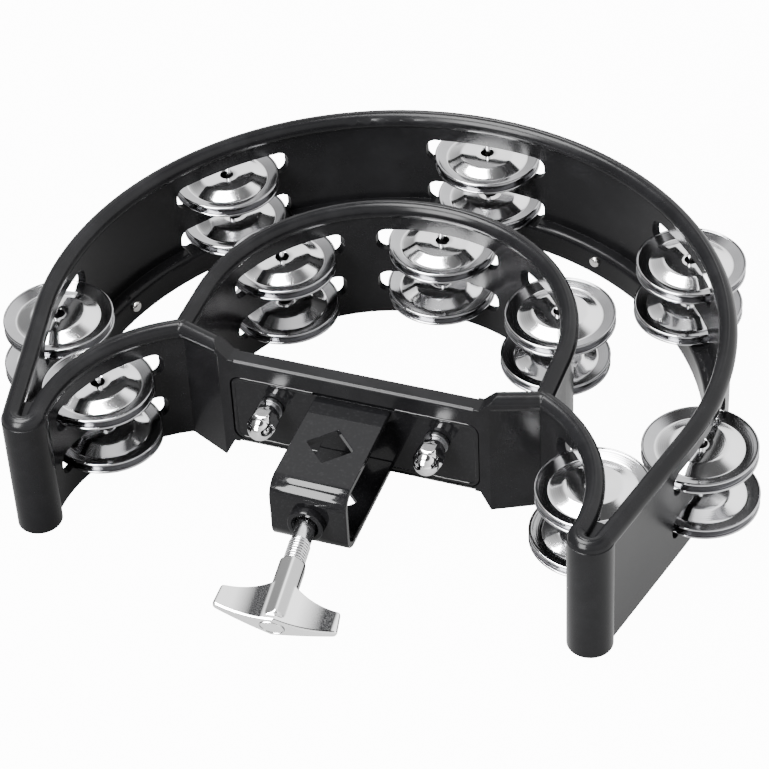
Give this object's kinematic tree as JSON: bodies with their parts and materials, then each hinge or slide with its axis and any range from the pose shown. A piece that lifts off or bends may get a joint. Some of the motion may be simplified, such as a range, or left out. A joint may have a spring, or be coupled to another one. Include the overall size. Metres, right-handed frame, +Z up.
{
  "type": "half-moon tambourine",
  "caption": "Headless crescent tambourine with paired jingle discs on pins in two rows of slots, and a rod clamp with a wing bolt on its straight bar.",
  "frame": {"origin": "centre of the outer ring's arc, on the flat underside of the frame", "axes": "+Z up through the ring along the jingle pins, +Y from the straight bar to the rear of the ring, X across"},
  "size_m": [0.293, 0.2816, 0.0536],
  "materials": {
    "frame_plastic": "black moulded plastic, semi-gloss",
    "bracket_paint": "gloss black paint on pressed steel",
    "jingle_chrome": "bright plated pressed sheet with fine turned marks",
    "pin_steel": "bright drawn wire",
    "nickel": "nickel-plated rivet heads",
    "fastener_steel": "zinc-plated steel",
    "fastener_chrome": "bright plated acorn nuts",
    "screw_chrome": "bright plated thread",
    "handle_chrome": "bright plated casting, polished"
  },
  "bodies": {
    "body": {"frame": "frame_plastic", "ledge_rivets": "nickel", "jingle_pins": "pin_steel", "bracket_plate": "bracket_paint", "clamp_strap": "bracket_paint", "clamp_boss": "bracket_paint", "bracket_bolts": "fastener_steel", "rear_washers": "fastener_steel", "lock_washers": "fastener_steel", "acorn_nuts": "fastener_chrome"},
    "foot": {"pressure_foot": "fastener_steel"},
    "wing_bolt": {"clamp_screw": "screw_chrome", "wing_handle": "handle_chrome"},
    "disc_rear_low_bottom": {"jingle_rear_low_bottom": "jingle_chrome"},
    "disc_rear_low_top": {"jingle_rear_low_top": "jingle_chrome"},
    "disc_rear_high_bottom": {"jingle_rear_high_bottom": "jingle_chrome"},
    "disc_rear_high_top": {"jingle_rear_high_top": "jingle_chrome"},
    "disc_rear_left_low_bottom": {"jingle_rear_left_low_bottom": "jingle_chrome"},
    "disc_rear_left_low_top": {"jingle_rear_left_low_top": "jingle_chrome"},
    "disc_rear_left_high_bottom": {"jingle_rear_left_high_bottom": "jingle_chrome"},
    "disc_rear_left_high_top": {"jingle_rear_left_high_top": "jingle_chrome"},
    "disc_rear_right_low_bottom": {"jingle_rear_right_low_bottom": "jingle_chrome"},
    "disc_rear_right_low_top": {"jingle_rear_right_low_top": "jingle_chrome"},
    "disc_rear_right_high_bottom": {"jingle_rear_right_high_bottom": "jingle_chrome"},
    "disc_rear_right_high_top": {"jingle_rear_right_high_top": "jingle_chrome"},
    "disc_side_left_low_bottom": {"jingle_side_left_low_bottom": "jingle_chrome"},
    "disc_side_left_low_top": {"jingle_side_left_low_top": "jingle_chrome"},
    "disc_side_left_high_bottom": {"jingle_side_left_high_bottom": "jingle_chrome"},
    "disc_side_left_high_top": {"jingle_side_left_high_top": "jingle_chrome"},
    "disc_side_right_low_bottom": {"jingle_side_right_low_bottom": "jingle_chrome"},
    "disc_side_right_low_top": {"jingle_side_right_low_top": "jingle_chrome"},
    "disc_side_right_high_bottom": {"jingle_side_right_high_bottom": "jingle_chrome"},
    "disc_side_right_high_top": {"jingle_side_right_high_top": "jingle_chrome"},
    "disc_inner_rear_low_bottom": {"jingle_inner_rear_low_bottom": "jingle_chrome"},
    "disc_inner_rear_low_top": {"jingle_inner_rear_low_top": "jingle_chrome"},
    "disc_inner_rear_high_bottom": {"jingle_inner_rear_high_bottom": "jingle_chrome"},
    "disc_inner_rear_high_top": {"jingle_inner_rear_high_top": "jingle_chrome"},
    "disc_inner_left_low_bottom": {"jingle_inner_left_low_bottom": "jingle_chrome"},
    "disc_inner_left_low_top": {"jingle_inner_left_low_top": "jingle_chrome"},
    "disc_inner_left_high_bottom": {"jingle_inner_left_high_bottom": "jingle_chrome"},
    "disc_inner_left_high_top": {"jingle_inner_left_high_top": "jingle_chrome"},
    "disc_inner_right_low_bottom": {"jingle_inner_right_low_bottom": "jingle_chrome"},
    "disc_inner_right_low_top": {"jingle_inner_right_low_top": "jingle_chrome"},
    "disc_inner_right_high_bottom": {"jingle_inner_right_high_bottom": "jingle_chrome"},
    "disc_inner_right_high_top": {"jingle_inner_right_high_top": "jingle_chrome"},
    "disc_tip_left_low_bottom": {"jingle_tip_left_low_bottom": "jingle_chrome"},
    "disc_tip_left_low_top": {"jingle_tip_left_low_top": "jingle_chrome"},
    "disc_tip_left_high_bottom": {"jingle_tip_left_high_bottom": "jingle_chrome"},
    "disc_tip_left_high_top": {"jingle_tip_left_high_top": "jingle_chrome"},
    "disc_tip_right_low_bottom": {"jingle_tip_right_low_bottom": "jingle_chrome"},
    "disc_tip_right_low_top": {"jingle_tip_right_low_top": "jingle_chrome"},
    "disc_tip_right_high_bottom": {"jingle_tip_right_high_bottom": "jingle_chrome"},
    "disc_tip_right_high_top": {"jingle_tip_right_high_top": "jingle_chrome"}
  },
  "joints": [
    {"name": "clamp_travel", "type": "slide", "parent": "body", "child": "foot", "axis": [-0.1219, 0.9925, 0], "range_m": [-0.001, 0.0148]},
    {"name": "wing_bolt_turn", "type": "hinge", "parent": "foot", "child": "wing_bolt", "pos_m": [0, -0.081, 0.0244], "axis": [-0.1219, 0.9925, 0], "range_deg": [-288, 4262.4]},
    {"name": "rear_low_pair_lift", "type": "slide", "parent": "body", "child": "disc_rear_low_bottom", "axis": [0, 0, 1], "range_m": [0, 0.00185]},
    {"name": "rear_low_top_lift", "type": "slide", "parent": "disc_rear_low_bottom", "child": "disc_rear_low_top", "axis": [0, 0, 1], "range_m": [0, 0.00185]},
    {"name": "rear_high_pair_lift", "type": "slide", "parent": "body", "child": "disc_rear_high_bottom", "axis": [0, 0, 1], "range_m": [0, 0.00185]},
    {"name": "rear_high_top_lift", "type": "slide", "parent": "disc_rear_high_bottom", "child": "disc_rear_high_top", "axis": [0, 0, 1], "range_m": [0, 0.00185]},
    {"name": "rear_left_low_pair_lift", "type": "slide", "parent": "body", "child": "disc_rear_left_low_bottom", "axis": [0, 0, 1], "range_m": [0, 0.00185]},
    {"name": "rear_left_low_top_lift", "type": "slide", "parent": "disc_rear_left_low_bottom", "child": "disc_rear_left_low_top", "axis": [0, 0, 1], "range_m": [0, 0.00185]},
    {"name": "rear_left_high_pair_lift", "type": "slide", "parent": "body", "child": "disc_rear_left_high_bottom", "axis": [0, 0, 1], "range_m": [0, 0.00185]},
    {"name": "rear_left_high_top_lift", "type": "slide", "parent": "disc_rear_left_high_bottom", "child": "disc_rear_left_high_top", "axis": [0, 0, 1], "range_m": [0, 0.00185]},
    {"name": "rear_right_low_pair_lift", "type": "slide", "parent": "body", "child": "disc_rear_right_low_bottom", "axis": [0, 0, 1], "range_m": [0, 0.00185]},
    {"name": "rear_right_low_top_lift", "type": "slide", "parent": "disc_rear_right_low_bottom", "child": "disc_rear_right_low_top", "axis": [0, 0, 1], "range_m": [0, 0.00185]},
    {"name": "rear_right_high_pair_lift", "type": "slide", "parent": "body", "child": "disc_rear_right_high_bottom", "axis": [0, 0, 1], "range_m": [0, 0.00185]},
    {"name": "rear_right_high_top_lift", "type": "slide", "parent": "disc_rear_right_high_bottom", "child": "disc_rear_right_high_top", "axis": [0, 0, 1], "range_m": [0, 0.00185]},
    {"name": "side_left_low_pair_lift", "type": "slide", "parent": "body", "child": "disc_side_left_low_bottom", "axis": [0, 0, 1], "range_m": [0, 0.00185]},
    {"name": "side_left_low_top_lift", "type": "slide", "parent": "disc_side_left_low_bottom", "child": "disc_side_left_low_top", "axis": [0, 0, 1], "range_m": [0, 0.00185]},
    {"name": "side_left_high_pair_lift", "type": "slide", "parent": "body", "child": "disc_side_left_high_bottom", "axis": [0, 0, 1], "range_m": [0, 0.00185]},
    {"name": "side_left_high_top_lift", "type": "slide", "parent": "disc_side_left_high_bottom", "child": "disc_side_left_high_top", "axis": [0, 0, 1], "range_m": [0, 0.00185]},
    {"name": "side_right_low_pair_lift", "type": "slide", "parent": "body", "child": "disc_side_right_low_bottom", "axis": [0, 0, 1], "range_m": [0, 0.00185]},
    {"name": "side_right_low_top_lift", "type": "slide", "parent": "disc_side_right_low_bottom", "child": "disc_side_right_low_top", "axis": [0, 0, 1], "range_m": [0, 0.00185]},
    {"name": "side_right_high_pair_lift", "type": "slide", "parent": "body", "child": "disc_side_right_high_bottom", "axis": [0, 0, 1], "range_m": [0, 0.00185]},
    {"name": "side_right_high_top_lift", "type": "slide", "parent": "disc_side_right_high_bottom", "child": "disc_side_right_high_top", "axis": [0, 0, 1], "range_m": [0, 0.00185]},
    {"name": "inner_rear_low_pair_lift", "type": "slide", "parent": "body", "child": "disc_inner_rear_low_bottom", "axis": [0, 0, 1], "range_m": [0, 0.00185]},
    {"name": "inner_rear_low_top_lift", "type": "slide", "parent": "disc_inner_rear_low_bottom", "child": "disc_inner_rear_low_top", "axis": [0, 0, 1], "range_m": [0, 0.00185]},
    {"name": "inner_rear_high_pair_lift", "type": "slide", "parent": "body", "child": "disc_inner_rear_high_bottom", "axis": [0, 0, 1], "range_m": [0, 0.00185]},
    {"name": "inner_rear_high_top_lift", "type": "slide", "parent": "disc_inner_rear_high_bottom", "child": "disc_inner_rear_high_top", "axis": [0, 0, 1], "range_m": [0, 0.00185]},
    {"name": "inner_left_low_pair_lift", "type": "slide", "parent": "body", "child": "disc_inner_left_low_bottom", "axis": [0, 0, 1], "range_m": [0, 0.00185]},
    {"name": "inner_left_low_top_lift", "type": "slide", "parent": "disc_inner_left_low_bottom", "child": "disc_inner_left_low_top", "axis": [0, 0, 1], "range_m": [0, 0.00185]},
    {"name": "inner_left_high_pair_lift", "type": "slide", "parent": "body", "child": "disc_inner_left_high_bottom", "axis": [0, 0, 1], "range_m": [0, 0.00185]},
    {"name": "inner_left_high_top_lift", "type": "slide", "parent": "disc_inner_left_high_bottom", "child": "disc_inner_left_high_top", "axis": [0, 0, 1], "range_m": [0, 0.00185]},
    {"name": "inner_right_low_pair_lift", "type": "slide", "parent": "body", "child": "disc_inner_right_low_bottom", "axis": [0, 0, 1], "range_m": [0, 0.00185]},
    {"name": "inner_right_low_top_lift", "type": "slide", "parent": "disc_inner_right_low_bottom", "child": "disc_inner_right_low_top", "axis": [0, 0, 1], "range_m": [0, 0.00185]},
    {"name": "inner_right_high_pair_lift", "type": "slide", "parent": "body", "child": "disc_inner_right_high_bottom", "axis": [0, 0, 1], "range_m": [0, 0.00185]},
    {"name": "inner_right_high_top_lift", "type": "slide", "parent": "disc_inner_right_high_bottom", "child": "disc_inner_right_high_top", "axis": [0, 0, 1], "range_m": [0, 0.00185]},
    {"name": "tip_left_low_pair_lift", "type": "slide", "parent": "body", "child": "disc_tip_left_low_bottom", "axis": [0, 0, 1], "range_m": [0, 0.00185]},
    {"name": "tip_left_low_top_lift", "type": "slide", "parent": "disc_tip_left_low_bottom", "child": "disc_tip_left_low_top", "axis": [0, 0, 1], "range_m": [0, 0.00185]},
    {"name": "tip_left_high_pair_lift", "type": "slide", "parent": "body", "child": "disc_tip_left_high_bottom", "axis": [0, 0, 1], "range_m": [0, 0.00185]},
    {"name": "tip_left_high_top_lift", "type": "slide", "parent": "disc_tip_left_high_bottom", "child": "disc_tip_left_high_top", "axis": [0, 0, 1], "range_m": [0, 0.00185]},
    {"name": "tip_right_low_pair_lift", "type": "slide", "parent": "body", "child": "disc_tip_right_low_bottom", "axis": [0, 0, 1], "range_m": [0, 0.00185]},
    {"name": "tip_right_low_top_lift", "type": "slide", "parent": "disc_tip_right_low_bottom", "child": "disc_tip_right_low_top", "axis": [0, 0, 1], "range_m": [0, 0.00185]},
    {"name": "tip_right_high_pair_lift", "type": "slide", "parent": "body", "child": "disc_tip_right_high_bottom", "axis": [0, 0, 1], "range_m": [0, 0.00185]},
    {"name": "tip_right_high_top_lift", "type": "slide", "parent": "disc_tip_right_high_bottom", "child": "disc_tip_right_high_top", "axis": [0, 0, 1], "range_m": [0, 0.00185]}
  ],
  "couplings": [
    {"joint": "wing_bolt_turn", "follows": "clamp_travel", "rad_per_m": 5026.5}
  ]
}
